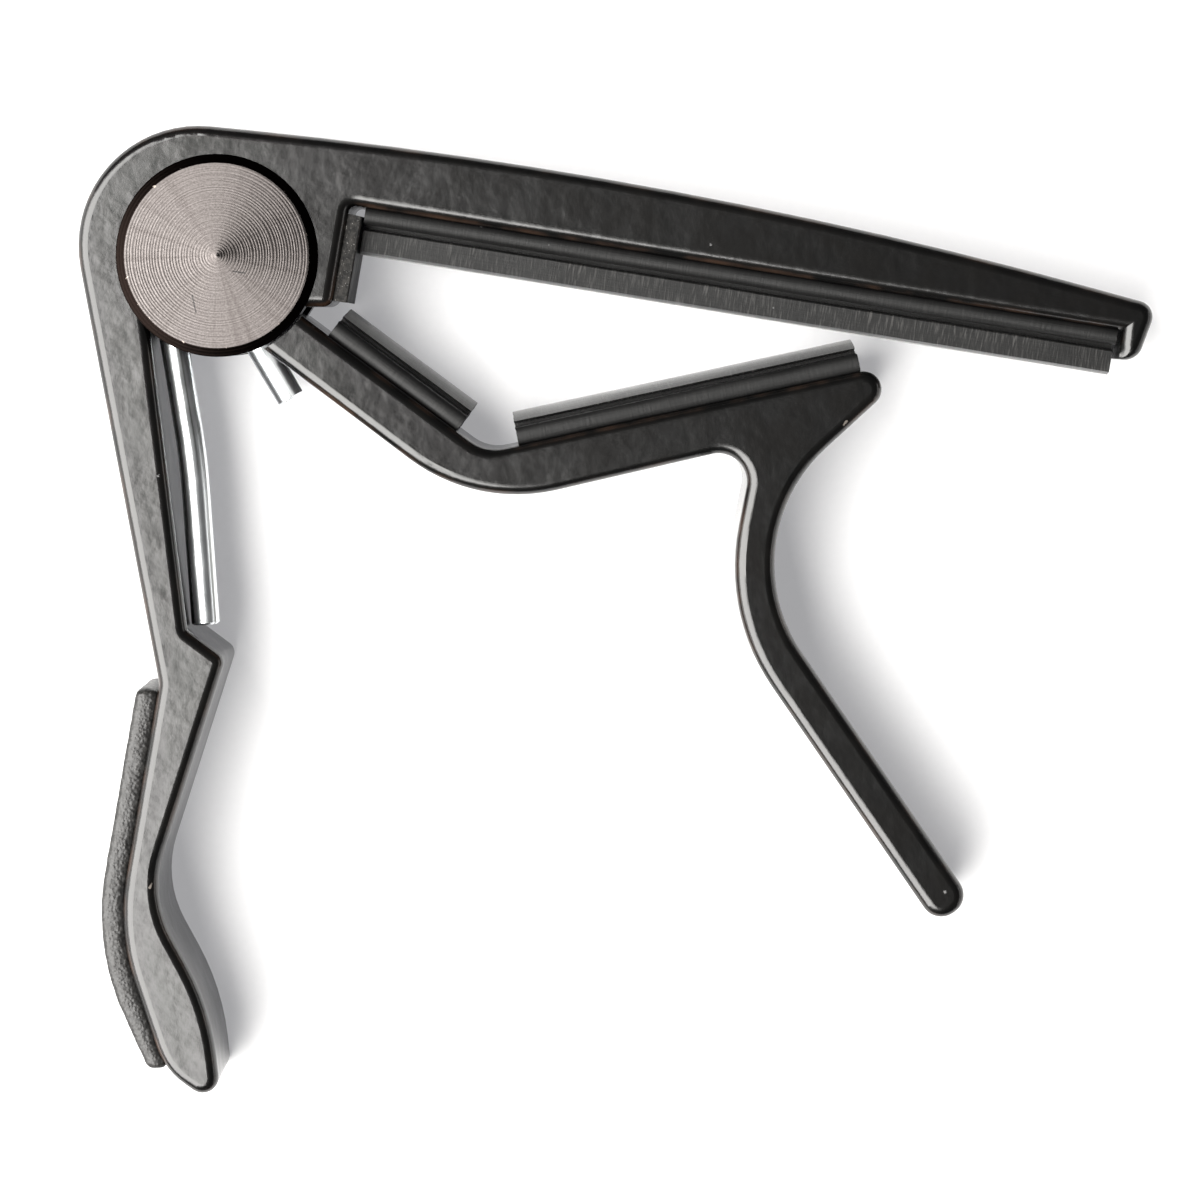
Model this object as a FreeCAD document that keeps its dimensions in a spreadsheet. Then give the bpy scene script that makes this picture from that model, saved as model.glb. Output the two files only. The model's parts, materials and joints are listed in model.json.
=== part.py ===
import FreeCAD
import Part
import math
import os

import Sketcher

# A spring capo for a guitar: two cast levers turn about a hub that holds a torsion spring.
# The capo lies on its side. X runs along the jaws, Y across them, Z through the thickness, and
# every length is in millimetres. The outlines are measured from the hub axis, which stands at
# (pivot_x, pivot_y). The origin is the middle of the bottom of the whole capo.

doc = FreeCAD.newDocument("Capo")
sheet = doc.addObject("Spreadsheet::Sheet", "Sizes")

SIZES = {
    # place of the hub axis
    "pivot_x": -33.32,
    "pivot_y": 29.98,
    # both levers
    "lever_depth": 12.7,
    "edge_round": 0.9,
    # hub socket, turned into the main lever
    "socket_radius": 7.93,
    "seat_radius": 8.46,
    "seat_depth": 2.2,
    # knuckle of the trigger lever
    "knuckle_radius": 7.85,
    "knuckle_bore": 6.5,
    "knuckle_play": 0.05,
    "arm_clearance": 8.65,
    "leg_window_start": 202.0,
    "leg_window_sweep": 98.0,
    "leg_window_reach": 10.8,
    # hub discs and the pin between them
    "disc_radius": 8.44,
    "disc_face": 7.7,
    "front_disc_proud": 0.4,
    "rim_drop": 0.35,
    "spigot_radius": 6.45,
    "spigot_height": 0.7,
    "boss_radius": 3.5,
    "boss_gap": 0.2,
    "pin_radius": 2.0,
    "pin_length": 7.0,
    # torsion spring
    "wire_radius": 1.2,
    "coil_radius": 5.1,
    "coil_pitch": 2.5,
    "coil_start": 4.15,
    "coil_start_angle": -75.0,
    "coil_sweep": 624.6,
    # bend and ends of the spring's legs
    "long_bend_x": -2.45,
    "long_bend_y": -17.2,
    "long_end_x": -1.5,
    "long_end_y": -31.15,
    "short_end_x": 5.56,
    "short_end_y": -12.14,
    # recess under the upper jaw, which seats the string pad
    "recess_x": 11.05,
    "recess_y": 4.25,
    "recess_pitch": -9.13,
    "recess_length": 65.55,
    # seats on the lower jaw: the arm slopes down, the jaw slopes up again
    "arm_x": 8.2,
    "arm_y": -5.9,
    "arm_pitch": -36.56,
    "arm_length": 17.68,
    "jaw_pitch": 12.13,
    "jaw_length": 37.64,
    # rubber pads: a wide base, and a narrower strip that touches the guitar
    "pad_base_inset": 0.6,
    "pad_base_height": 1.75,
    "pad_strip_inset": 2.3,
    "string_strip_height": 2.15,
    "back_strip_height": 1.0,
    "string_pad_start": 1.35,
    "string_pad_length": 63.9,
    "inner_pad_start": 1.25,
    "inner_pad_length": 13.4,
    "outer_pad_start": 2.8,
    "outer_pad_length": 29.4,
    "edge_pad_start": 0.45,
    "edge_pad_length": 7.45,
    "edge_pad_thickness": 1.2,
    "edge_pad_pitch": 80.0,
    # thumb grip
    "grip_inset": 1.0,
}

# Corners of the outlines: name, x, y and the radius that rounds the corner.
MAIN_CORNERS = (
    ("hub_shoulder", -13.92, 12.14, 10.1),
    ("jaw_crown", 38.4, 6.88, 430.0),
    ("jaw_tip", 78.75, -4.15, 1.35),
    ("hook_toe", 76.95, -9.0, 1.55),
    ("hook_heel", 75.5, -8.6, 0.0),
    ("recess_end", None, None, 0.0),
    ("recess_start", None, None, 0.6),
    ("nub_toe", 9.55, -4.25, 0.95),
    ("socket_right", 0.0, -4.25, 0.0),
    ("socket_left", -6.45, 0.0, 0.0),
    ("ledge_root", -2.75, -31.4, 0.5),
    ("ledge_nose", 0.45, -33.8, 1.0),
    ("thumb_waist", -6.1, -54.0, 9.5),
    ("thumb_belly", -0.95, -63.6, 22.0),
    ("thumb_tip", -0.05, -72.2, 1.35),
    ("tip_heel", -4.9, -68.9, 6.5),
    ("thumb_bulge", -8.86, -56.85, 18.5),
    ("thumb_kink", -5.16, -35.94, 2.0),
)
TRIGGER_CORNERS = (
    ("root_top", 3.0, -2.04, 0.0),
    ("arm_seat", None, None, 0.0),
    ("elbow", None, None, 3.5),
    ("nose", None, None, 1.5),
    ("trigger_front", 42.5, -23.85, 13.2),
    ("trigger_end_front", 63.47, -54.35, 1.75),
    ("trigger_end_back", 60.43, -56.45, 1.75),
    ("trigger_back", 42.2, -30.0, 18.0),
    ("trigger_crook", 45.0, -15.75, 2.4),
    ("elbow_below", 21.5, -21.2, 15.0),
    ("root_below", 2.0, -6.4, 0.0),
)
GRIP_CORNERS = (
    ("grip_top_inner", -4.5, -36.9, 0.0),
    ("grip_waist_inner", -6.9, -54.0, 0.0),
    ("grip_bottom_inner", -3.2, -68.5, 0.0),
    ("grip_bottom_outer", -6.3, -68.7, 0.6),
    ("grip_bulge", -10.94, -58.3, 21.0),
    ("grip_top_outer", -7.0, -36.3, 0.6),
)

# Corners that lie on a seat are worked out from its start, pitch and length.
SEAT_CORNERS = {
    "recess_start": ("Sizes.recess_x", "Sizes.recess_y"),
    "recess_end": (
        "Sizes.recess_x + Sizes.recess_length * cos(Sizes.recess_pitch)",
        "Sizes.recess_y + Sizes.recess_length * sin(Sizes.recess_pitch)",
    ),
    "arm_seat": ("Sizes.arm_x", "Sizes.arm_y"),
    "elbow": (
        "Sizes.arm_x + Sizes.arm_length * cos(Sizes.arm_pitch)",
        "Sizes.arm_y + Sizes.arm_length * sin(Sizes.arm_pitch)",
    ),
    "nose": (
        "Sizes.arm_x + Sizes.arm_length * cos(Sizes.arm_pitch) + Sizes.jaw_length * cos(Sizes.jaw_pitch)",
        "Sizes.arm_y + Sizes.arm_length * sin(Sizes.arm_pitch) + Sizes.jaw_length * sin(Sizes.jaw_pitch)",
    ),
}


def fill_sheet():
    """Write every size and every corner into the sheet, one aliased number to a row."""
    cells = dict(SIZES)
    for corners in (MAIN_CORNERS, TRIGGER_CORNERS, GRIP_CORNERS):
        for name, x, y, radius in corners:
            if x is not None:
                cells[name + "_x"] = x
                cells[name + "_y"] = y
            if radius > 0:
                cells[name + "_radius"] = radius
    for row, (alias, value) in enumerate(cells.items(), start=1):
        sheet.set(f"A{row}", alias)
        sheet.set(f"B{row}", str(value))
        sheet.setAlias(f"B{row}", alias)
    doc.recompute()


def size(expression):
    """Value of an expression in the sheet's aliases."""
    return float(sheet.evalExpression(expression))


def new_body(label):
    """Body whose own origin is the hub axis, standing where the sheet puts it."""
    body = doc.addObject("PartDesign::Body", label)
    body.Label = label
    body.setExpression("Placement.Base.x", "Sizes.pivot_x")
    body.setExpression("Placement.Base.y", "Sizes.pivot_y")
    return body


def origin_plane(body, role):
    """One of the body's own origin planes or axes."""
    return next(item for item in body.Origin.OriginFeatures if item.Role == role)


def new_sketch(body, name, role="XY_Plane", height=None):
    """Sketch on an origin plane of the body, lifted to a height given as an expression."""
    sketch = body.newObject("Sketcher::SketchObject", name)
    sketch.AttachmentSupport = [(origin_plane(body, role), "")]
    sketch.MapMode = "FlatFace"
    if height:
        sketch.setExpression("AttachmentOffset.Base.z", height)
    return sketch


def bind(sketch, kind, first, point, value_expression):
    """Distance of one point from the sketch's own axes, bound to an expression."""
    value = size(value_expression)
    index = sketch.addConstraint(Sketcher.Constraint(kind, -1, 1, first, point, value))
    sketch.setExpression(f"Constraints[{index}]", value_expression)


def corner_expressions(name, radius):
    """Expressions for the place and the rounding radius of a named corner."""
    x, y = SEAT_CORNERS.get(name, (f"Sizes.{name}_x", f"Sizes.{name}_y"))
    return x, y, f"Sizes.{name}_radius" if radius > 0 else None


def rounded_outline(sketch, corners):
    """Closed outline of straight sides, each corner rounded by a tangent arc."""
    named = [corner_expressions(name, radius) for name, _, _, radius in corners]
    points = [FreeCAD.Vector(size(x), size(y), 0) for x, y, _ in named]
    starts = []
    ends = []
    centres = []
    for i, point in enumerate(points):
        radius = size(named[i][2]) if named[i][2] else 0.0
        back = (points[i - 1] - point).normalize()
        ahead = (points[(i + 1) % len(points)] - point).normalize()
        half_angle = back.getAngle(ahead) / 2
        reach = radius / math.tan(half_angle)
        starts.append(point + back * reach)
        ends.append(point + ahead * reach)
        centres.append(point + (back + ahead).normalize() * (radius / math.sin(half_angle)))

    sides = []
    for i in range(len(points)):
        following = (i + 1) % len(points)
        sides.append(sketch.addGeometry(Part.LineSegment(ends[i], starts[following]), False))
    for i, (x, y, radius) in enumerate(named):
        before = sides[i - 1]
        after = sides[i]
        if radius is None:
            sketch.addConstraint(Sketcher.Constraint("Coincident", before, 2, after, 1))
            bind(sketch, "DistanceX", after, 1, x)
            bind(sketch, "DistanceY", after, 1, y)
            continue
        centre = centres[i]
        middle = centre + (points[i] - centre).normalize() * (starts[i] - centre).Length
        arc = sketch.addGeometry(Part.Arc(starts[i], middle, ends[i]), False)
        counter_clockwise = ((starts[i] - centre).cross(ends[i] - centre)).z > 0
        arc_start, arc_end = (1, 2) if counter_clockwise else (2, 1)
        mark = sketch.addGeometry(Part.Point(points[i]), True)
        sketch.addConstraint(Sketcher.Constraint("Tangent", before, 2, arc, arc_start))
        sketch.addConstraint(Sketcher.Constraint("Tangent", arc, arc_end, after, 1))
        sketch.addConstraint(Sketcher.Constraint("PointOnObject", mark, 1, before))
        sketch.addConstraint(Sketcher.Constraint("PointOnObject", mark, 1, after))
        bind(sketch, "DistanceX", mark, 1, x)
        bind(sketch, "DistanceY", mark, 1, y)
        index = sketch.addConstraint(Sketcher.Constraint("Radius", arc, size(radius)))
        sketch.setExpression(f"Constraints[{index}]", radius)


def polygon(sketch, expressions):
    """Closed polygon through points given as pairs of expressions."""
    points = [FreeCAD.Vector(size(x), size(y), 0) for x, y in expressions]
    count = len(points)
    for i in range(count):
        sketch.addGeometry(Part.LineSegment(points[i], points[(i + 1) % count]), False)
    for i, (x, y) in enumerate(expressions):
        sketch.addConstraint(Sketcher.Constraint("Coincident", (i - 1) % count, 2, i, 1))
        bind(sketch, "DistanceX", i, 1, x)
        bind(sketch, "DistanceY", i, 1, y)


def circle(sketch, radius):
    """Circle about the hub axis."""
    ring = sketch.addGeometry(Part.Circle(FreeCAD.Vector(), FreeCAD.Vector(0, 0, 1), size(radius)), False)
    sketch.addConstraint(Sketcher.Constraint("Coincident", ring, 3, -1, 1))
    index = sketch.addConstraint(Sketcher.Constraint("Radius", ring, size(radius)))
    sketch.setExpression(f"Constraints[{index}]", radius)


def pad(body, name, sketch, length):
    """Pad a sketch upwards by a length given as an expression."""
    feature = body.newObject("PartDesign::Pad", name)
    feature.Profile = sketch
    feature.setExpression("Length", length)
    doc.recompute()
    return feature


def turned(body, kind, name, sketch):
    """Revolution or groove of a sketch on the XZ plane, all the way round the hub axis."""
    feature = body.newObject(kind, name)
    feature.Profile = sketch
    feature.ReferenceAxis = (origin_plane(body, "Z_Axis"), [""])
    feature.Angle = 360
    doc.recompute()
    return feature


def cut_checked(body, feature, before):
    """Stop if a cutting feature removed nothing."""
    least_cut = 1.0
    if feature.Shape.Volume > before - least_cut:
        raise RuntimeError(f"{feature.Name} of {body.Label} cuts nothing")


def round_faces(body, feature, radius):
    """Round the edges of the flat front and rear faces of a lever."""
    depth = size("Sizes.lever_depth")
    tolerance = 0.01
    faces = []
    for number, face in enumerate(feature.Shape.Faces, start=1):
        height = face.CenterOfMass.z
        flat = face.BoundBox.ZLength < tolerance
        if flat and min(abs(height), abs(height - depth)) < tolerance:
            faces.append(f"Face{number}")
    fillet = body.newObject("PartDesign::Fillet", "EdgeRound")
    fillet.Base = (feature, faces)
    fillet.setExpression("Radius", radius)
    doc.recompute()
    return fillet


def stepped_bore(sketch, end_radius, middle_radius, low, high):
    """Half section of a bore that is wider at both ends, from the rear face to past the front."""
    top = "Sizes.lever_depth + 1"
    polygon(sketch, (
        ("0", "-1"),
        (end_radius, "-1"),
        (end_radius, low),
        (middle_radius, low),
        (middle_radius, high),
        (end_radius, high),
        (end_radius, top),
        ("0", top),
    ))


SEAT_TOP = "Sizes.lever_depth - Sizes.seat_depth"


def build_main_lever():
    """Upper jaw, hub socket and thumb lever in one casting."""
    body = new_body("main_lever")
    outline = new_sketch(body, "LeverOutline")
    rounded_outline(outline, MAIN_CORNERS)
    casting = pad(body, "Casting", outline, "Sizes.lever_depth")
    rounded = round_faces(body, casting, "Sizes.edge_round")
    bore = new_sketch(body, "SocketSection", "XZ_Plane")
    stepped_bore(bore, "Sizes.seat_radius", "Sizes.socket_radius", "Sizes.seat_depth", SEAT_TOP)
    socket = turned(body, "PartDesign::Groove", "Socket", bore)
    cut_checked(body, socket, rounded.Shape.Volume)
    return body


def build_trigger_lever():
    """Knuckle, lower jaw and finger trigger in one casting."""
    body = new_body("trigger_lever")
    outline = new_sketch(body, "ArmOutline")
    rounded_outline(outline, TRIGGER_CORNERS)
    casting = pad(body, "Casting", outline, "Sizes.lever_depth")
    rounded = round_faces(body, casting, "Sizes.edge_round")
    low = "Sizes.seat_depth + Sizes.knuckle_play"
    high = "Sizes.lever_depth - Sizes.seat_depth - Sizes.knuckle_play"
    ring = new_sketch(body, "KnuckleRing", height=low)
    circle(ring, "Sizes.knuckle_radius")
    knuckle = pad(body, "Knuckle", ring, f"{high} - ({low})")
    bore = new_sketch(body, "BoreSection", "XZ_Plane")
    stepped_bore(bore, "Sizes.arm_clearance", "Sizes.knuckle_bore", low, high)
    bored = turned(body, "PartDesign::Groove", "Bore", bore)
    cut_checked(body, bored, knuckle.Shape.Volume)
    window = new_sketch(body, "LegWindow", height=low)
    start = "Sizes.leg_window_start"
    middle = "Sizes.leg_window_start + Sizes.leg_window_sweep / 2"
    end = "Sizes.leg_window_start + Sizes.leg_window_sweep"
    reach = "Sizes.leg_window_reach"
    polygon(window, (
        ("0", "0"),
        (f"{reach} * cos({start})", f"{reach} * sin({start})"),
        (f"{reach} * cos({middle})", f"{reach} * sin({middle})"),
        (f"{reach} * cos({end})", f"{reach} * sin({end})"),
    ))
    opening = body.newObject("PartDesign::Pocket", "Window")
    opening.Profile = window
    opening.Reversed = True
    opening.setExpression("Length", f"{high} - ({low})")
    doc.recompute()
    cut_checked(body, opening, bored.Shape.Volume)
    return body


def build_disc(label, front):
    """Hub disc: a turned face with a dropped rim, a spigot for the knuckle and a bored boss."""
    body = new_body(label)
    depth = "Sizes.lever_depth"
    proud = "Sizes.front_disc_proud" if front else "0"

    def level(expression):
        return f"{depth} - ({expression})" if front else expression

    middle = f"{depth} / 2"
    section = new_sketch(body, "DiscSection", "XZ_Plane")
    outer_face = level(f"0 - {proud}")
    rim_face = level(f"Sizes.rim_drop - {proud}")
    polygon(section, (
        ("0", outer_face),
        ("Sizes.disc_face", outer_face),
        ("Sizes.disc_radius", rim_face),
        ("Sizes.disc_radius", level("Sizes.seat_depth")),
        ("Sizes.spigot_radius", level("Sizes.seat_depth")),
        ("Sizes.spigot_radius", level("Sizes.seat_depth + Sizes.spigot_height")),
        ("Sizes.boss_radius", level("Sizes.seat_depth + Sizes.spigot_height")),
        ("Sizes.boss_radius", level(f"{middle} - Sizes.boss_gap / 2")),
        ("Sizes.pin_radius", level(f"{middle} - Sizes.boss_gap / 2")),
        ("Sizes.pin_radius", level(f"{middle} - Sizes.pin_length / 2")),
        ("0", level(f"{middle} - Sizes.pin_length / 2")),
    ))
    turned(body, "PartDesign::Revolution", "Disc", section)
    return body


def build_pin():
    """Dowel pressed into the bosses of both discs."""
    pin = doc.addObject("Part::Cylinder", "pivot_pin")
    pin.Label = "pivot_pin"
    pin.setExpression("Radius", "Sizes.pin_radius")
    pin.setExpression("Height", "Sizes.pin_length")
    pin.setExpression("Placement.Base.x", "Sizes.pivot_x")
    pin.setExpression("Placement.Base.y", "Sizes.pivot_y")
    pin.setExpression("Placement.Base.z", "(Sizes.lever_depth - Sizes.pin_length) / 2")
    return pin


def rod(start, end, radius):
    """Round bar between two points."""
    return Part.makeCylinder(radius, (end - start).Length, start, end - start)


def build_spring():
    """Torsion spring: a coil about the hub axis, with a long and a short leg."""
    wire = size("Sizes.wire_radius")
    coil = size("Sizes.coil_radius")
    pitch = size("Sizes.coil_pitch")
    turns = size("Sizes.coil_sweep") / 360
    low = size("Sizes.coil_start")
    start_angle = size("Sizes.coil_start_angle")
    helix = Part.makeHelix(pitch, pitch * turns, coil)
    helix.rotate(FreeCAD.Vector(), FreeCAD.Vector(0, 0, 1), start_angle)
    helix.translate(FreeCAD.Vector(0, 0, low))
    curve = helix.Edges[0]
    start = curve.valueAt(curve.FirstParameter)
    end = curve.valueAt(curve.LastParameter)
    section = Part.Wire(Part.makeCircle(wire, start, curve.tangentAt(curve.FirstParameter)))
    solid = Part.Wire(helix.Edges).makePipeShell([section], True, True)
    for first, bends in ((start, ("short_end",)), (end, ("long_bend", "long_end"))):
        point = first
        for bend in bends:
            following = FreeCAD.Vector(size(f"Sizes.{bend}_x"), size(f"Sizes.{bend}_y"), first.z)
            solid = solid.fuse(Part.makeSphere(wire, point))
            solid = solid.fuse(rod(point, following, wire))
            point = following
    spring = doc.addObject("Part::Feature", "torsion_spring")
    spring.Label = "torsion_spring"
    spring.Shape = solid
    spring.setExpression("Placement.Base.x", "Sizes.pivot_x")
    spring.setExpression("Placement.Base.y", "Sizes.pivot_y")
    return spring


def slab(body, name, first, last, bottom, top, inset):
    """Slab of the body from first to last along x and bottom to top along y, inset from both faces."""
    sketch = new_sketch(body, name + "Outline", height=inset)
    polygon(sketch, ((first, bottom), (last, bottom), (last, top), (first, top)))
    return pad(body, name, sketch, f"Sizes.lever_depth - 2 * {inset}")


def build_pad(label, seat, pitch, start, length, strip_height, side):
    """Rubber pad along a seat; side is 1 for a pad above its seat and -1 for one below it."""
    body = new_body(label)
    x, y = SEAT_CORNERS[seat]
    body.setExpression("Placement.Base.x", f"Sizes.pivot_x + {x} + {start} * cos({pitch})")
    body.setExpression("Placement.Base.y", f"Sizes.pivot_y + {y} + {start} * sin({pitch})")
    body.setExpression("Placement.Rotation.Angle", pitch)
    base = f"{side} * Sizes.pad_base_height"
    strip = f"{side} * (Sizes.pad_base_height + {strip_height})"
    slab(body, "Base", "0", length, "0", base, "Sizes.pad_base_inset")
    slab(body, "Strip", "0", length, base, strip, "Sizes.pad_strip_inset")
    return body


def build_edge_pad():
    """Flat rubber piece on the end wall of the recess, which meets the edge of the neck."""
    body = new_body("neck_edge_pad")
    pitch = "Sizes.edge_pad_pitch"
    start = "Sizes.edge_pad_start"
    body.setExpression("Placement.Base.x", f"Sizes.pivot_x + Sizes.nub_toe_x + {start} * cos({pitch})")
    body.setExpression("Placement.Base.y", f"Sizes.pivot_y + Sizes.nub_toe_y + {start} * sin({pitch})")
    body.setExpression("Placement.Rotation.Angle", pitch)
    slab(body, "Sheet", "0", "Sizes.edge_pad_length", "0", "-1 * Sizes.edge_pad_thickness",
         "Sizes.pad_base_inset")
    return body


def build_grip(lever):
    """Thumb grip: a soft cover whose inner side is cut to the outside of the thumb lever."""
    blank = new_body("GripBlank")
    outline = new_sketch(blank, "GripOutline", height="Sizes.grip_inset")
    rounded_outline(outline, GRIP_CORNERS)
    pad(blank, "Blank", outline, "Sizes.lever_depth - 2 * Sizes.grip_inset")
    grip = doc.addObject("Part::Cut", "thumb_grip")
    grip.Label = "thumb_grip"
    grip.Base = blank
    grip.Tool = lever
    return grip


def failed_objects():
    """Names of the document's objects that did not recompute."""
    return [item.Name for item in doc.Objects if "Invalid" in item.State or "Error" in item.State]


fill_sheet()
main_lever = build_main_lever()
sub_parts = [
    main_lever,
    build_trigger_lever(),
    build_disc("front_hub_disc", True),
    build_disc("rear_hub_disc", False),
    build_pin(),
    build_spring(),
    build_pad("string_pad", "recess_start", "Sizes.recess_pitch", "Sizes.string_pad_start",
              "Sizes.string_pad_length", "Sizes.string_strip_height", -1),
    build_edge_pad(),
    build_pad("inner_back_pad", "arm_seat", "Sizes.arm_pitch", "Sizes.inner_pad_start",
              "Sizes.inner_pad_length", "Sizes.back_strip_height", 1),
    build_pad("outer_back_pad", "elbow", "Sizes.jaw_pitch", "Sizes.outer_pad_start",
              "Sizes.outer_pad_length", "Sizes.back_strip_height", 1),
    build_grip(main_lever),
]
doc.recompute()

if failed_objects():
    raise RuntimeError("did not recompute: " + ", ".join(failed_objects()))
os.makedirs("parts", exist_ok=True)
for part in sub_parts:
    if part.Shape.isNull() or not part.Shape.isValid():
        raise RuntimeError(part.Label + " has no valid shape")
    part.Shape.exportStep(os.path.join("parts", part.Label + ".step"))
    box = part.Shape.BoundBox
    print(f"{part.Label}: {len(part.Shape.Solids)} solid, {part.Shape.Volume:.1f} mm3,"
          f" x {box.XMin:.2f} {box.XMax:.2f}, y {box.YMin:.2f} {box.YMax:.2f},"
          f" z {box.ZMin:.2f} {box.ZMax:.2f}")
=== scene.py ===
import json
import math

import bmesh
import bpy
from mathutils import Matrix, Vector, noise

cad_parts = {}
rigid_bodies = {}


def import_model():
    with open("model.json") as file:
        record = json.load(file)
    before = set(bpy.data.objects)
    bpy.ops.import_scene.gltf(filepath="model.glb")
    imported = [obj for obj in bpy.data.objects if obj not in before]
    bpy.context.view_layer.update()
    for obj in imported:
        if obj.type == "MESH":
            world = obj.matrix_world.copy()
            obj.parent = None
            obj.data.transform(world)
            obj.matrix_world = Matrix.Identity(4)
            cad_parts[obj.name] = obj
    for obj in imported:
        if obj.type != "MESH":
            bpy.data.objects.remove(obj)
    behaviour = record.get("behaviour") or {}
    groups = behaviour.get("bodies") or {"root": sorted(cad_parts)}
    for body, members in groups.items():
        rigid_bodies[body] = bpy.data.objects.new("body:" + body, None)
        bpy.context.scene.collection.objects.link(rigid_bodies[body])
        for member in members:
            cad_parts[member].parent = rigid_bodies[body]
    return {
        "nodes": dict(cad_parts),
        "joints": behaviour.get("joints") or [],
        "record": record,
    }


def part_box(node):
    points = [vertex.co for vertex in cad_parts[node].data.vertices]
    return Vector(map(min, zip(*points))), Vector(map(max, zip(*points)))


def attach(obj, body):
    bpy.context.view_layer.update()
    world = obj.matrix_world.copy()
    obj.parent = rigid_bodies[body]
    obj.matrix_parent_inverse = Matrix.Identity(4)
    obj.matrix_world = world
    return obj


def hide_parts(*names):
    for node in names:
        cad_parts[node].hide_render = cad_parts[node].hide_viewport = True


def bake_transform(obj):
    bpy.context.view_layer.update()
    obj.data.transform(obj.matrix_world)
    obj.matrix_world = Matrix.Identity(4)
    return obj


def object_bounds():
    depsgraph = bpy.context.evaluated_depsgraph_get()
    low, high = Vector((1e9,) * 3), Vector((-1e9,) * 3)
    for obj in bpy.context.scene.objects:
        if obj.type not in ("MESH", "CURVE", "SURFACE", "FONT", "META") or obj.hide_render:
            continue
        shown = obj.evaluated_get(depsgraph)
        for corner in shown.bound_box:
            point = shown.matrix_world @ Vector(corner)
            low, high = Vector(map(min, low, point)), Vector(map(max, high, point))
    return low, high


# Looks of a spring capo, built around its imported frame. Lengths are in metres, and MM turns a
# length in millimetres into metres. X runs along the jaws, Y across them, Z through the thickness.

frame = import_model()
CAD_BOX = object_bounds()
MM = 0.001
UP = Vector((0, 0, 1))

NODES = frame["nodes"]
HINGE = frame["joints"][0]
HUB = Vector(HINGE["pos_m"])
CLAMP_BODY = HINGE["parent"]
TRIGGER_BODY = HINGE["child"]
FRONT_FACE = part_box("main_lever")[1].z
OPENINGS = {gap["name"]: gap["box_m"] for gap in frame["record"]["physics"]["openings"]}
NECK = sum((Vector(corner) for corner in OPENINGS["neck_gap"]), Vector()) / 2

# Small bare marks in the front of the coat: both ends from the hub axis, and the radius, in
# millimetres.
COAT_CHIPS = (
    ((-6.0, -53.15), (-5.4, -52.2), 0.17),
    ((52.45, -14.15), (52.65, -13.85), 0.24),
    ((14.24, -10.46), (14.4, -10.4), 0.12),
    ((31.93, 1.09), (32.05, 1.0), 0.1),
)

# Hub discs: a turned face inside a dropped, blackened rim.
DISC_FACE_RADIUS = 7.7 * MM
RING_PITCH = 0.24 * MM
# The tool leaves the rings leaning outwards, most of all near the middle: height of the cone in
# metres for each square root of a metre of radius.
TURNED_CONE = 0.0045
# Two short scratches, from the hub axis, in millimetres.
DISC_SCRATCHES = (((-2.05, -3.3), (-1.75, -4.7)), ((1.35, -1.3), (2.35, -1.45)))

# Torsion spring, from the hub axis and from the rear face, in millimetres.
WIRE_RADIUS = 1.2
COIL_RADIUS = 5.1
COIL_PITCH = 2.5
COIL_START_Z = 4.15
COIL_START_ANGLE = -75.0
COIL_SWEEP = 624.6
LONG_BEND = (-2.45, -17.2)
LONG_END = (-1.5, -31.15)
SHORT_END = (5.56, -12.14)
COIL_END_Z = COIL_START_Z + COIL_PITCH * COIL_SWEEP / 360

# Rubber: long waves along the sides of a pad, short roughness of its cut ends, and the cell size
# that the grip is remeshed at.
SIDE_WAVE_LENGTH = 5.0 * MM
SIDE_WAVE_HEIGHT = 0.03 * MM
CUT_ROUGHNESS_LENGTH = 0.5 * MM
GRIP_VOXEL = 0.28 * MM

# Soft lights, aimed at the middle of the table: name, place, width, height and brightness.
LIGHTS = (
    ("soft_box", (-0.38, -0.09, 0.50), 0.90, 0.70, 14.0),
    ("left_wall", (-0.85, -0.05, 0.20), 1.00, 0.25, 3.5),
    ("right_strip", (0.80, -0.10, 0.16), 0.90, 0.12, 3.0),
)
LIGHT_COLOUR = (1.0, 0.985, 0.96)
ROOM_COLOUR = (0.98, 0.99, 1.0, 1.0)
ROOM_BRIGHTNESS = 0.08

# Camera: place from the hub axis in millimetres, direction, and lens on a full frame sensor.
CAMERA_PLACE = (30.30, -5.33, 349.35)
CAMERA_DIRECTION = (0.0049, -0.0683, -0.9977)
SENSOR_WIDTH = 36.0
LENS = 122.8


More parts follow.
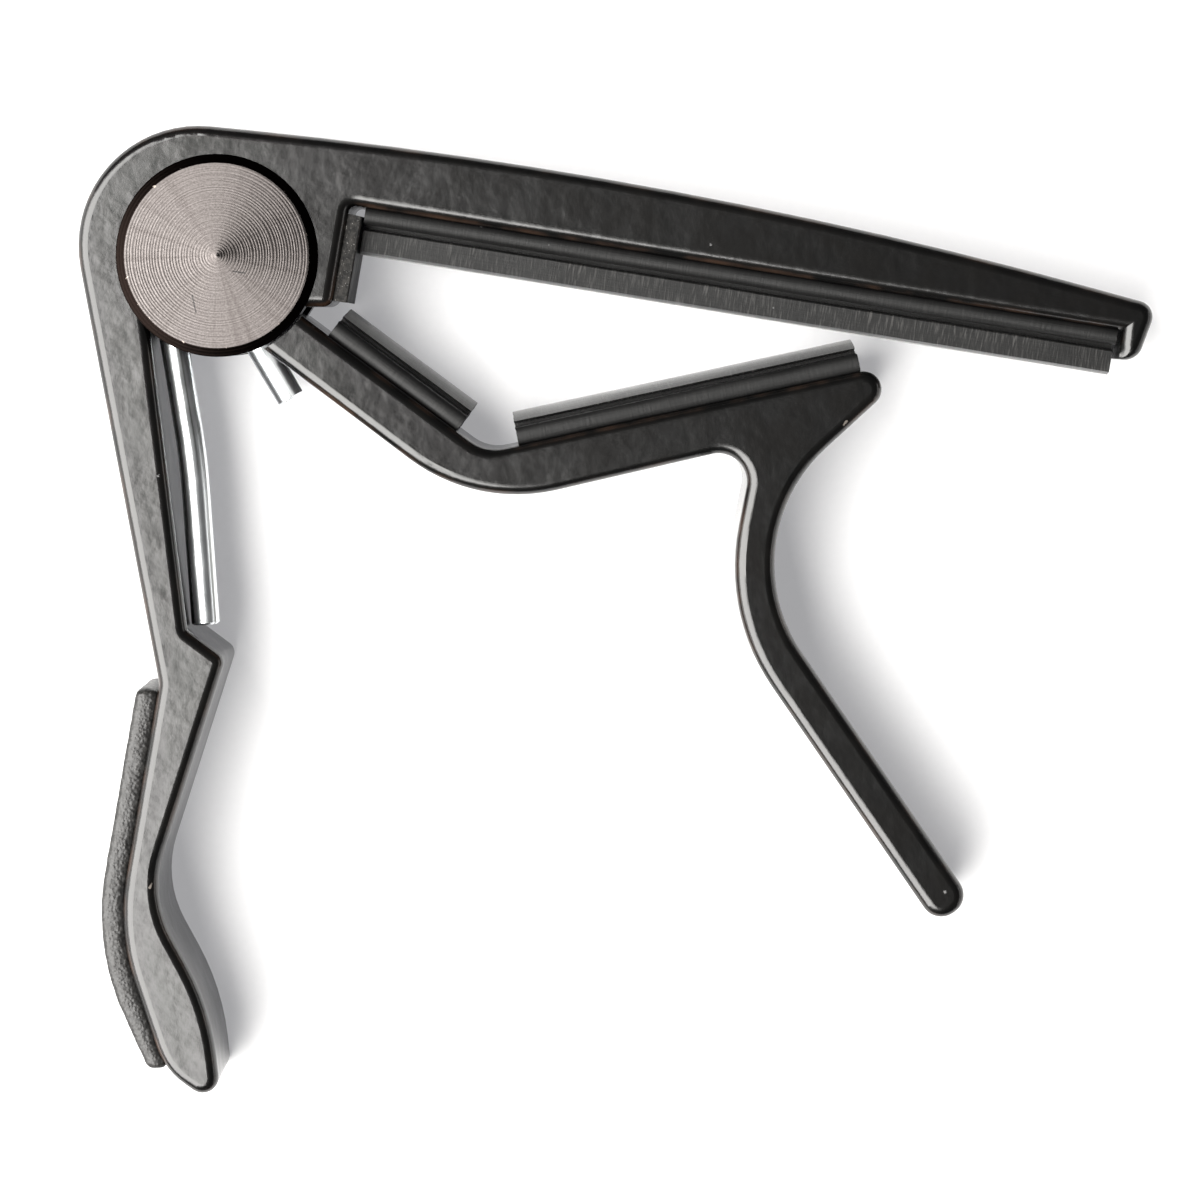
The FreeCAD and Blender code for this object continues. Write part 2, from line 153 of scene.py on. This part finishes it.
class Graph:
    """Node tree of one material, with a short call for each kind of node used here."""

    def __init__(self, name, metallic=0.0):
        self.material = bpy.data.materials.new(name)
        self.material.use_nodes = True
        self.nodes = self.material.node_tree.nodes
        self.shader = self.nodes["Principled BSDF"]
        self.put(self.shader, "Metallic", metallic)
        self.place = self.nodes.new("ShaderNodeTexCoord").outputs["Object"]

    def put(self, node, name, value):
        """Set an input, or link it when the value is another node's output."""
        if isinstance(value, bpy.types.NodeSocket):
            self.material.node_tree.links.new(value, node.inputs[name])
        else:
            node.inputs[name].default_value = value

    def math(self, operation, first, second=0.0, third=0.0):
        node = self.nodes.new("ShaderNodeMath")
        node.operation = operation
        for index, value in enumerate((first, second, third)):
            self.put(node, index, value)
        return node.outputs["Value"]

    def vector(self, operation, first, second, output="Vector"):
        node = self.nodes.new("ShaderNodeVectorMath")
        node.operation = operation
        self.put(node, 0, first)
        self.put(node, 1, second)
        return node.outputs[output]

    def split(self, vector):
        node = self.nodes.new("ShaderNodeSeparateXYZ")
        self.put(node, "Vector", vector)
        return node.outputs

    def join(self, x, y, z):
        node = self.nodes.new("ShaderNodeCombineXYZ")
        for name, value in zip("XYZ", (x, y, z)):
            self.put(node, name, value)
        return node.outputs["Vector"]

    def grain(self, size, detail=2.0, stretch=(1, 1, 1), place=None):
        """Noise whose blobs are about size metres across, longer along an axis by its stretch."""
        scale = [1 / (size * factor) for factor in stretch]
        node = self.nodes.new("ShaderNodeTexNoise")
        self.put(node, "Vector", self.vector("MULTIPLY", place or self.place, scale))
        self.put(node, "Scale", 1.0)
        self.put(node, "Detail", detail)
        return node.outputs["Fac"]

    def cells(self, size, feature="F1"):
        """Distance from the middle of Voronoi cells about size metres across, in cell sizes."""
        node = self.nodes.new("ShaderNodeTexVoronoi")
        node.feature = feature
        self.put(node, "Vector", self.place)
        self.put(node, "Scale", 1 / size)
        return node.outputs["Distance"]

    def remap(self, value, low, high, to_low=0.0, to_high=1.0):
        """Smooth step from to_low where the value is low to to_high where it is high."""
        node = self.nodes.new("ShaderNodeMapRange")
        node.interpolation_type = "SMOOTHSTEP"
        for name, number in zip(("Value", "From Min", "From Max", "To Min", "To Max"),
                                (value, low, high, to_low, to_high)):
            self.put(node, name, number)
        return node.outputs["Result"]

    def mix(self, factor, first, second):
        """Colour between the first at factor 0 and the second at factor 1."""
        node = self.nodes.new("ShaderNodeMix")
        node.data_type = "RGBA"
        self.put(node, 0, factor)
        for index, colour in ((6, first), (7, second)):
            self.put(node, index, colour)
        return node.outputs[2]

    def bump(self, height, distance, below=None):
        """Relief of a height from 0 to 1, distance metres deep, on top of another relief."""
        node = self.nodes.new("ShaderNodeBump")
        self.put(node, "Height", height)
        self.put(node, "Distance", distance)
        if below:
            self.put(node, "Normal", below)
        return node.outputs["Normal"]

    def stroke(self, place, start, end):
        """Distance from a straight scratch between two points given in millimetres."""
        first = Vector((*start, 0)) * MM
        run = Vector((*end, 0)) * MM - first
        offset = self.vector("SUBTRACT", place, tuple(first))
        share = self.vector("DOT_PRODUCT", offset, tuple(run / run.length_squared), "Value")
        share = self.math("MINIMUM", self.math("MAXIMUM", share, 0.0), 1.0)
        along = self.vector("SCALE", tuple(run), (0, 0, 0))
        self.put(along.node, "Scale", share)
        return self.vector("DISTANCE", offset, along, "Value")

    def surface_direction(self):
        """Direction that the surface faces, in the piece's own axes."""
        return self.split(self.nodes.new("ShaderNodeTexCoord").outputs["Normal"])


def grey(value, warmth=0.0):
    """Opaque colour from a lightness, made warmer or cooler by a small share."""
    return (value * (1 + warmth), value, value * (1 - warmth), 1.0)


def lever_coat():
    """Satin black powder coat: mottling, ripples, orange peel, dust, chips and browned edges."""
    graph = Graph("lever_coat")
    mottle = graph.grain(3.2 * MM, 3.0)
    ripple = graph.grain(1.7 * MM, 1.0)
    peel = graph.grain(0.55 * MM, 2.0)
    grit = graph.grain(0.12 * MM, 1.0)
    shade = graph.remap(mottle, 0.35, 0.7)
    colour = graph.mix(shade, grey(0.0008, 0.05), grey(0.0024, 0.08))

    facing = graph.math("ABSOLUTE", graph.surface_direction()["Z"])
    rounding = graph.math("MULTIPLY", facing, graph.math("SUBTRACT", 1.0, facing))
    patchy = graph.remap(mottle, 0.4, 0.75)
    worn = graph.math("MULTIPLY", graph.remap(rounding, 0.12, 0.25), patchy)
    colour = graph.mix(worn, colour, (0.02, 0.011, 0.007, 1.0))

    dust = graph.remap(graph.cells(5.5 * MM), 0.035, 0.018)
    dust = graph.math("MULTIPLY", dust, graph.remap(grit, 0.42, 0.6))
    colour = graph.mix(dust, colour, grey(0.12))
    from_hub = graph.vector("SUBTRACT", graph.place, (HUB.x, HUB.y, FRONT_FACE))
    for start, end, radius in COAT_CHIPS:
        near = graph.stroke(from_hub, start, end)
        ragged = graph.math("MULTIPLY_ADD", grit, 0.5 * radius * MM, near)
        chip = graph.remap(ragged, radius * MM, 0.7 * radius * MM)
        colour = graph.mix(chip, colour, grey(0.1, 0.12))

    graph.put(graph.shader, "Base Color", colour)
    graph.put(graph.shader, "Roughness", graph.remap(mottle, 0.3, 0.75, 0.235, 0.195))
    relief = graph.bump(mottle, 0.032 * MM)
    relief = graph.bump(ripple, 0.028 * MM, relief)
    relief = graph.bump(peel, 0.008 * MM, relief)
    relief = graph.bump(grit, 0.002 * MM, relief)
    graph.put(graph.shader, "Normal", relief)
    return graph.material


def disc_rings(graph, radius):
    """Height from 0 to 1 of the turned rings, which wander a little in pitch."""
    along_radius = graph.join(radius, 0.0, 0.0)
    wander = graph.math("MULTIPLY", graph.grain(0.8 * MM, 2.0, place=along_radius), 9.0)
    phase = graph.math("MULTIPLY_ADD", radius, math.tau / RING_PITCH, wander)
    return graph.math("MULTIPLY_ADD", graph.math("SINE", phase), 0.5, 0.5)


def disc_marks(graph, flat, radius, colour):
    """Colour of the disc with its scratches, its blackened rim and the pale burrs beside it."""
    marks = 0.0
    for start, end in DISC_SCRATCHES:
        line = graph.stroke(flat, start, end)
        marks = graph.math("MAXIMUM", marks, graph.remap(line, 0.09 * MM, 0.03 * MM))
    colour = graph.mix(graph.math("MULTIPLY", marks, 0.75), colour, grey(0.02))
    softness = 0.05 * MM
    rim = graph.remap(radius, DISC_FACE_RADIUS - softness, DISC_FACE_RADIUS + softness)
    colour = graph.mix(rim, colour, (0.005, 0.0035, 0.003, 1.0))
    edge = graph.math("ABSOLUTE", graph.math("SUBTRACT", radius, DISC_FACE_RADIUS))
    burrs = graph.math("MULTIPLY", graph.remap(edge, 0.16 * MM, 0.06 * MM),
                       graph.remap(graph.grain(0.45 * MM, 1.0), 0.68, 0.72))
    return graph.mix(burrs, colour, (0.2, 0.17, 0.15, 1.0))


def turned_metal():
    """Faced disc: fine rings round the hub axis, darker sectors of painted shade, scratches and a
    blackened rim.
    """
    graph = Graph("turned_metal", metallic=1.0)
    offset = graph.split(graph.vector("SUBTRACT", graph.place, tuple(HUB)))
    flat = graph.join(offset["X"], offset["Y"], 0.0)
    radius = graph.vector("LENGTH", flat, (0, 0, 0), "Value")
    fine = graph.grain(0.1 * MM, 1.0, place=graph.join(radius, 0.0, 0.0))
    speckle = graph.grain(0.16 * MM, 2.0)
    tone = graph.math("MULTIPLY_ADD", fine, 0.6, graph.math("MULTIPLY", speckle, 0.4))
    dark_metal, pale_metal = (0.052, 0.046, 0.044, 1.0), (0.102, 0.093, 0.09, 1.0)
    colour = graph.mix(graph.remap(tone, 0.3, 0.7), dark_metal, pale_metal)
    # Darker sectors round the hub axis are painted shade, standing in for the dark wedge in the
    # turned face's reflection.
    painted_shade_sectors = graph.grain(0.09, 2.0, place=graph.vector("NORMALIZE", flat, (0, 0, 0)))
    shade = graph.remap(painted_shade_sectors, 0.45, 0.8, 0.0, 0.38)
    colour = graph.mix(shade, colour, (0.034, 0.029, 0.027, 1.0))
    graph.put(graph.shader, "Base Color", disc_marks(graph, flat, radius, colour))
    graph.put(graph.shader, "Roughness", graph.remap(tone, 0.3, 0.7, 0.44, 0.32))
    graph.put(graph.shader, "Anisotropic", 0.8)
    tangent = graph.nodes.new("ShaderNodeTangent")
    tangent.direction_type = "RADIAL"
    tangent.axis = "Z"
    graph.put(graph.shader, "Tangent", tangent.outputs["Tangent"])
    relief = graph.bump(graph.math("SQRT", radius), -TURNED_CONE)
    relief = graph.bump(disc_rings(graph, radius), 0.006 * MM, relief)
    relief = graph.bump(speckle, 0.003 * MM, relief)
    graph.put(graph.shader, "Normal", relief)
    return graph.material


def ground_steel():
    """Hidden dowel: ground steel with marks round it."""
    graph = Graph("ground_steel", metallic=1.0)
    marks = graph.grain(0.15 * MM, 2.0, (8.0, 8.0, 1.0))
    graph.put(graph.shader, "Base Color", graph.mix(marks, grey(0.45), grey(0.62)))
    graph.put(graph.shader, "Roughness", graph.remap(marks, 0.3, 0.7, 0.22, 0.38))
    graph.put(graph.shader, "Normal", graph.bump(marks, 0.005 * MM))
    return graph.material


def plated_wire():
    """Bright plated spring wire with drawing marks that follow it and a few duller stretches."""
    graph = Graph("plated_wire", metallic=1.0)
    straightened = graph.nodes.new("ShaderNodeAttribute")
    straightened.attribute_name = "straightened"
    along_wire = straightened.outputs["Vector"]
    drawn = graph.grain(0.28 * MM, 2.0, (1.0, 1.0, 90.0), place=along_wire)
    dull = graph.grain(2.5 * MM, 2.0)
    dark_plate, pale_plate = (0.42, 0.43, 0.43, 1.0), (0.90, 0.93, 0.95, 1.0)
    colour = graph.mix(graph.remap(drawn, 0.36, 0.5), dark_plate, pale_plate)
    graph.put(graph.shader, "Base Color", colour)
    graph.put(graph.shader, "Roughness", graph.remap(dull, 0.35, 0.75, 0.28, 0.34))
    graph.put(graph.shader, "Normal", graph.bump(drawn, 0.006 * MM))
    return graph.material


def pad_rubber():
    """Matt extruded rubber: fine lines along it, scrapes across it and a dusty contact face."""
    graph = Graph("pad_rubber")
    extruded = graph.grain(0.16 * MM, 2.0, (30.0, 1.0, 1.0))
    scraped = graph.grain(0.12 * MM, 2.0, (1.0, 12.0, 12.0))
    patches = graph.grain(4.0 * MM, 3.0)
    grit = graph.grain(0.1 * MM, 1.0)
    patchy = graph.remap(patches, 0.3, 0.7, 0.35, 1.0)
    scuff = graph.math("MULTIPLY", graph.remap(scraped, 0.5, 0.72), patchy)
    on_strip = graph.remap(graph.split(graph.place)["Y"], 1.7 * MM, 1.9 * MM)
    scuff = graph.math("MULTIPLY", scuff, graph.math("MULTIPLY_ADD", on_strip, 0.85, 0.15))
    colour = graph.mix(scuff, grey(0.003), grey(0.03, 0.03))
    faces_neck = graph.remap(graph.surface_direction()["Y"], 0.25, 0.7)
    contact = graph.math("MULTIPLY", on_strip, faces_neck)
    scuffed = graph.mix(scuff, grey(0.03, -0.03), grey(0.06, -0.03))
    colour = graph.mix(contact, colour, scuffed)
    specks = graph.math("MULTIPLY", graph.remap(graph.cells(2.8 * MM), 0.05, 0.025), grit)
    colour = graph.mix(specks, colour, grey(0.2))
    graph.put(graph.shader, "Base Color", colour)
    graph.put(graph.shader, "Roughness", graph.remap(patches, 0.3, 0.7, 0.5, 0.62))
    gloss = graph.remap(contact, 0.0, 1.0, 0.24, 0.5)
    graph.put(graph.shader, "Specular IOR Level", gloss)
    graph.put(graph.shader, "Sheen Weight", graph.math("MULTIPLY", contact, 0.33))
    graph.put(graph.shader, "Sheen Roughness", 0.35)
    relief = graph.bump(extruded, 0.02 * MM)
    relief = graph.bump(scraped, 0.02 * MM, relief)
    graph.put(graph.shader, "Normal", graph.bump(grit, 0.008 * MM, relief))
    return graph.material


def cut_rubber():
    """Cut face of a rubber sheet: grainy and speckled."""
    graph = Graph("cut_rubber")
    graph.put(graph.shader, "Roughness", 0.75)
    graph.put(graph.shader, "Specular IOR Level", 0.2)
    coarse = graph.grain(0.35 * MM, 3.0)
    grit = graph.grain(0.14 * MM, 1.0)
    colour = graph.mix(graph.remap(coarse, 0.35, 0.7), grey(0.003, 0.05), grey(0.015, 0.08))
    colour = graph.mix(graph.remap(grit, 0.68, 0.78), colour, grey(0.2, 0.05))
    graph.put(graph.shader, "Base Color", colour)
    relief = graph.bump(coarse, 0.09 * MM)
    graph.put(graph.shader, "Normal", graph.bump(grit, 0.04 * MM, relief))
    return graph.material


def grip_rubber():
    """Soft grip with a finely pebbled, leather-like skin, darker between the pebbles."""
    graph = Graph("grip_rubber")
    pebbles = graph.cells(0.24 * MM, feature="SMOOTH_F1")
    creases = graph.grain(0.4 * MM, 3.0)
    height = graph.math("MULTIPLY_ADD", creases, 0.6, graph.math("MULTIPLY", pebbles, -1.0))
    raised = graph.remap(height, -0.35, 0.15)
    colour = graph.mix(raised, grey(0.003, 0.05), grey(0.012, 0.06))
    graph.put(graph.shader, "Base Color", colour)
    graph.put(graph.shader, "Roughness", graph.remap(creases, 0.3, 0.75, 0.38, 0.52))
    graph.put(graph.shader, "Specular IOR Level", 0.42)
    graph.put(graph.shader, "Normal", graph.bump(height, 0.055 * MM))
    return graph.material


def floor_paper():
    """Pale table lit a little from below, with a very faint grain."""
    graph = Graph("floor_paper")
    graph.put(graph.shader, "Roughness", 0.9)
    grain = graph.grain(0.6 * MM, 3.0)
    graph.put(graph.shader, "Base Color", graph.mix(grain, grey(0.49), grey(0.52)))
    graph.put(graph.shader, "Specular IOR Level", 0.1)
    graph.put(graph.shader, "Emission Color", (0.97, 0.97, 1.0, 1.0))
    graph.put(graph.shader, "Emission Strength", 0.34)
    return graph.material


def wear(node, material):
    """Give a CAD node its finish."""
    piece = NODES[node]
    piece.data.materials.clear()
    piece.data.materials.append(material)


def new_piece(name, shape, materials, matrix=None, fold=35.0):
    """Object from a bmesh, smooth-shaded except across folds sharper than fold degrees."""
    bmesh.ops.recalc_face_normals(shape, faces=shape.faces)
    mesh = bpy.data.meshes.new(name)
    shape.to_mesh(mesh)
    shape.free()
    for material in materials:
        mesh.materials.append(material)
    mesh.shade_smooth()
    mesh.set_sharp_from_angle(angle=math.radians(fold))
    piece = bpy.data.objects.new(name, mesh)
    bpy.context.scene.collection.objects.link(piece)
    if matrix:
        piece.matrix_world = matrix
    return piece


def skin_rings(shape, rings):
    """Closed tube of faces through rings of points, capped at both ends."""
    made = [[shape.verts.new(point) for point in ring] for ring in rings]
    count = len(rings[0])
    for near, far in zip(made, made[1:]):
        for i in range(count):
            following = (i + 1) % count
            shape.faces.new((near[i], near[following], far[following], far[i]))
    shape.faces.new(made[0])
    shape.faces.new(made[-1])


def seat_of(node):
    """Axes and sizes of a rubber piece: X along it, Y from its seat towards the neck, Z up."""
    corners = [vertex.co for vertex in NODES[node].data.vertices]
    middle = sum(corners, Vector()) / len(corners)
    offsets = [corner - middle for corner in corners]
    spread = sum(offset.x ** 2 - offset.y ** 2 for offset in offsets)
    slant = sum(2 * offset.x * offset.y for offset in offsets)
    angle = math.atan2(slant, spread) / 2
    away = Vector((-math.sin(angle), math.cos(angle), 0))
    if away.dot(NECK - middle) < 0:
        away = -away
    along = away.cross(UP)
    starts = min(offset.dot(along) for offset in offsets)
    seat = min(offset.dot(away) for offset in offsets)
    top = max(offset.dot(away) for offset in offsets)
    low = min(offset.z for offset in offsets)
    high = max(offset.z for offset in offsets)
    narrow = [offset for offset in offsets if offset.dot(away) > top - 0.1 * MM]
    origin = middle + along * starts + away * seat + UP * (low + high) / 2
    matrix = Matrix.Translation(origin) @ Matrix((along, away, UP)).transposed().to_4x4()
    return {
        "matrix": matrix,
        "length": -2 * starts,
        "height": top - seat,
        "half_depth": (high - low) / 2,
        "half_strip": max(abs(offset.z - (low + high) / 2) for offset in narrow),
    }


def bead_side(half_depth, height, bulge, steps=10):
    """Rounded side of a pad's base, from its seat up, as (height, depth) points."""
    points = []
    for step in range(steps + 1):
        angle = math.pi * (step / steps - 0.5)
        rise = height * (1 + math.sin(angle)) / 2
        points.append((rise, half_depth - bulge * (1 - math.cos(angle))))
    return points


def crown(half_width, edge, height, flatness, steps=14):
    """Half of the contact face, from its edge to its middle, and flatter for a higher flatness."""
    crowding = 1.5 if flatness > 4 else 1.0
    points = []
    for step in range(steps + 1):
        across = (1 - step / steps) ** crowding
        points.append((edge + (height - edge) * (1 - across ** flatness), half_width * across))
    return points


def pad_section(seat, bead, bulge, groove, undercut, edge_drop, flatness):
    """Half section of a pad: beaded base, groove, then the strip that meets the guitar."""
    neck_depth = seat["half_strip"] - undercut
    edge = seat["height"] - edge_drop
    strip_start = bead + groove
    points = bead_side(seat["half_depth"], bead, bulge)
    points.append((bead + 0.04 * MM, neck_depth))
    points.append((strip_start, neck_depth))
    points.append((strip_start + 0.08 * MM, seat["half_strip"] - 0.1 * MM))
    points.append((strip_start + 0.2 * MM, seat["half_strip"]))
    return points + crown(seat["half_strip"], edge, seat["height"], flatness)


def rubber_ring(loop, along, height, inward, ragged):
    """One section of a rubber piece, a little wavy, and pushed inward by up to ragged."""
    ring = []
    for rise, depth in loop:
        place = Vector((along, rise, depth))
        wave = noise.noise(place / SIDE_WAVE_LENGTH) * SIDE_WAVE_HEIGHT
        lift = wave if 0.2 * MM < rise < height - 0.2 * MM else 0.0
        push = inward * abs(noise.noise(place / CUT_ROUGHNESS_LENGTH)) * ragged
        ring.append(place + Vector((push, lift, math.copysign(wave, depth))))
    return ring


def extrude_rubber(name, node, half_section, materials, ragged, step=1.2 * MM):
    """Rubber piece along its seat, with slightly wavy sides and rough cut ends."""
    seat = seat_of(node)
    section = half_section(seat)
    loop = section + [(height, -depth) for height, depth in reversed(section[:-1])]
    steps = max(4, round(seat["length"] / step))
    inward = {0: 1, steps: -1}
    rings = []
    for index in range(steps + 1):
        along = seat["length"] * index / steps
        rings.append(rubber_ring(loop, along, seat["height"], inward.get(index, 0), ragged))
    shape = bmesh.new()
    skin_rings(shape, rings)
    piece = new_piece(name, shape, materials, seat["matrix"])
    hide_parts(node)
    return piece


def string_section(seat):
    """Half section of the pad on the strings, whose contact face is nearly flat."""
    return pad_section(seat, bead=1.3 * MM, bulge=0.55 * MM, groove=0.42 * MM, undercut=0.9 * MM,
                       edge_drop=0.25 * MM, flatness=14.0)


def back_section(seat):
    """Half section of a pad behind the neck, whose contact face is crowned."""
    return pad_section(seat, bead=1.5 * MM, bulge=0.5 * MM, groove=0.3 * MM, undercut=0.7 * MM,
                       edge_drop=0.75 * MM, flatness=2.2)


def sheet_section(seat):
    """Half section of a plain sheet with slightly broken edges."""
    edge = 0.12 * MM
    return [
        (0.0, seat["half_depth"] - edge),
        (edge, seat["half_depth"]),
        (seat["height"] - edge, seat["half_depth"]),
        (seat["height"], seat["half_depth"] - edge),
        (seat["height"], 0.0),
    ]


def build_pads(side_rubber, cut_face):
    """The four rubber pieces: three extruded pads and the cut sheet at the edge of the neck."""
    for node, section, body in (
        ("string_pad", string_section, CLAMP_BODY),
        ("inner_back_pad", back_section, TRIGGER_BODY),
        ("outer_back_pad", back_section, TRIGGER_BODY),
    ):
        pad = extrude_rubber(node + "_rubber", node, section, [side_rubber], 0.14 * MM)
        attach(pad, body)
    edge_sheet = extrude_rubber("neck_edge_rubber", "neck_edge_pad", sheet_section,
                                [side_rubber, cut_face], 0.25 * MM, 0.5 * MM)
    for face in edge_sheet.data.polygons:
        if abs(face.normal.z) > 0.7:
            face.material_index = 1
    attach(edge_sheet, CLAMP_BODY)


def build_grip(material):
    """Thumb grip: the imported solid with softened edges, and a skin that is pebbled and padded."""
    solid = bmesh.new()
    solid.from_mesh(NODES["thumb_grip"].data)
    bmesh.ops.remove_doubles(solid, verts=solid.verts, dist=0.01 * MM)
    blank = new_piece("grip_blank", solid, [])
    remesh = blank.modifiers.new("Remesh", "REMESH")
    remesh.mode = "VOXEL"
    remesh.voxel_size = GRIP_VOXEL
    soften = blank.modifiers.new("Soften", "SMOOTH")
    soften.factor = 0.5
    soften.iterations = 4
    evaluated = blank.evaluated_get(bpy.context.evaluated_depsgraph_get())
    mesh = bpy.data.meshes.new_from_object(evaluated)
    bpy.data.objects.remove(blank)
    skin = bmesh.new()
    skin.from_mesh(mesh)
    skin.normal_update()
    for vertex in skin.verts:
        pebbles = noise.noise(vertex.co / (1.1 * MM)) + noise.noise(vertex.co / (0.55 * MM))
        vertex.co += vertex.normal * (0.12 + 0.03 * pebbles) * MM
    grip = new_piece("thumb_grip_skin", skin, [material], fold=180.0)
    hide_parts("thumb_grip")
    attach(grip, CLAMP_BODY)


def curve_between(start, corner, end, steps):
    """Points of a bend from start to end that is pulled towards a corner."""
    points = []
    for step in range(1, steps + 1):
        t = step / steps
        points.append(start * (1 - t) ** 2 + corner * 2 * t * (1 - t) + end * t ** 2)
    return points


def straight(start, end, spacing=1.5):
    """Points after the start, up to the end, about spacing apart."""
    count = max(1, round((end - start).length / spacing))
    return [start.lerp(end, step / count) for step in range(1, count + 1)]


def coil_points():
    """Points of the coil's centreline in millimetres, from the short leg's end of it."""
    turn_step = 6.0
    points = []
    for step in range(round(COIL_SWEEP / turn_step) + 1):
        sweep = min(step * turn_step, COIL_SWEEP)
        angle = math.radians(COIL_START_ANGLE + sweep)
        rise = COIL_START_Z + COIL_PITCH * sweep / 360
        points.append(Vector((COIL_RADIUS * math.cos(angle), COIL_RADIUS * math.sin(angle), rise)))
    return points


def wire_centreline():
    """From the short leg's tip, round the coil, to the long leg's tip."""
    coil = coil_points()
    eased, bend_steps = 4, 8
    short_tip = Vector((*SHORT_END, COIL_START_Z))
    long_bend = Vector((*LONG_BEND, COIL_END_Z))
    long_tip = Vector((*LONG_END, COIL_END_Z))
    before_coil = coil[0].lerp(short_tip, 0.25)
    before_bend = long_bend.lerp(coil[-1], 0.16)
    after_bend = long_bend.lerp(long_tip, 0.2)
    points = [short_tip] + straight(short_tip, before_coil)
    points += curve_between(before_coil, coil[0], coil[eased], bend_steps)
    points += coil[eased + 1:]
    points += straight(coil[-1], before_bend)
    points += curve_between(before_bend, long_bend, after_bend, bend_steps)
    points += straight(after_bend, long_tip)
    base = Vector((HUB.x, HUB.y, CAD_BOX[0].z))
    return [base + point * MM for point in points]


def wire_stations(points, radius, chamfer):
    """Place, two directions across the wire, and radius at each point, with chamfered ends."""
    runs = [(b - a).normalized() for a, b in zip(points, points[1:])]
    bisectors = [(a + b).normalized() for a, b in zip(runs, runs[1:])]
    directions = [runs[0]] + bisectors + [runs[-1]]
    across = directions[0].orthogonal().normalized()
    stations = []
    for point, direction in zip(points, directions):
        across = (across - direction * across.dot(direction)).normalized()
        stations.append((point, across.copy(), direction.cross(across), radius))
    first, last = stations[0], stations[-1]
    stations[0] = (first[0] + directions[0] * chamfer, *first[1:])
    stations[-1] = (last[0] - directions[-1] * chamfer, *last[1:])
    return [(*first[:3], radius - chamfer)] + stations + [(*last[:3], radius - chamfer)]


def build_spring(material):
    """Round wire swept along the spring's centreline, with the place of each point on the
    straightened wire kept for the drawing marks."""
    sides = 24
    chamfer = 0.15 * MM
    stations = wire_stations(wire_centreline(), WIRE_RADIUS * MM, chamfer)
    rings = []
    unrolled = []
    travelled = 0.0
    previous = stations[0][0]
    for point, right, up, reach in stations:
        travelled += (point - previous).length
        previous = point
        ring = []
        for side in range(sides):
            angle = math.tau * side / sides
            ring.append(point + (right * math.cos(angle) + up * math.sin(angle)) * reach)
            unrolled.append(Vector((reach * math.cos(angle), reach * math.sin(angle), travelled)))
        rings.append(ring)
    shape = bmesh.new()
    layer = shape.verts.layers.float_vector.new("straightened")
    skin_rings(shape, rings)
    for vertex, place in zip(shape.verts, unrolled):
        vertex[layer] = place
    spring = new_piece("spring_wire", shape, [material])
    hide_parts("torsion_spring")
    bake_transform(spring)


def build_floor(material):
    """Wide table under the capo."""
    shape = bmesh.new()
    half_width = 1.5
    bmesh.ops.create_grid(shape, x_segments=8, y_segments=8, size=half_width)
    floor = new_piece("floor", shape, [material], Matrix.Translation((0, 0, CAD_BOX[0].z)))


def soft_light(name, position, width, height, brightness):
    """Soft light aimed at the middle of the table, with its width level."""
    lamp = bpy.data.lights.new(name, "AREA")
    lamp.shape = "RECTANGLE"
    lamp.size = width
    lamp.size_y = height
    lamp.color = LIGHT_COLOUR
    lamp.energy = brightness * math.pi * width * height
    light = bpy.data.objects.new(name, lamp)
    light.location = position
    light.visible_camera = False
    light.rotation_mode = "QUATERNION"
    light.rotation_quaternion = (-Vector(position)).to_track_quat("-Z", "Y")
    bpy.context.scene.collection.objects.link(light)


def build_lights():
    """The soft lights, a dim even room, and plain colour handling."""
    for light in LIGHTS:
        soft_light(*light)
    world = bpy.data.worlds.new("room")
    world.use_nodes = True
    background = world.node_tree.nodes["Background"]
    background.inputs["Color"].default_value = ROOM_COLOUR
    background.inputs["Strength"].default_value = ROOM_BRIGHTNESS
    bpy.context.scene.world = world
    bpy.context.scene.view_settings.view_transform = "Standard"


def build_camera():
    """Long lens almost straight above the capo, tipped a little towards the thumb lever."""
    data = bpy.data.cameras.new("camera")
    data.sensor_width = SENSOR_WIDTH
    data.lens = LENS
    data.clip_start = 0.01
    data.clip_end = 10.0
    camera = bpy.data.objects.new("camera", data)
    looking = Vector(CAMERA_DIRECTION).normalized()
    right = Vector((1, 0, 0))
    right = (right - looking * right.dot(looking)).normalized()
    turn = Matrix((right, right.cross(looking), -looking)).transposed().to_4x4()
    camera.matrix_world = Matrix.Translation(HUB + Vector(CAMERA_PLACE) * MM) @ turn
    bpy.context.scene.collection.objects.link(camera)
    bpy.context.scene.camera = camera


coat = lever_coat()
for lever in ("main_lever", "trigger_lever"):
    wear(lever, coat)
disc_metal = turned_metal()
for disc in ("front_hub_disc", "rear_hub_disc"):
    wear(disc, disc_metal)
wear("pivot_pin", ground_steel())
build_spring(plated_wire())
build_pads(pad_rubber(), cut_rubber())
build_grip(grip_rubber())
build_floor(floor_paper())
build_lights()
build_camera()
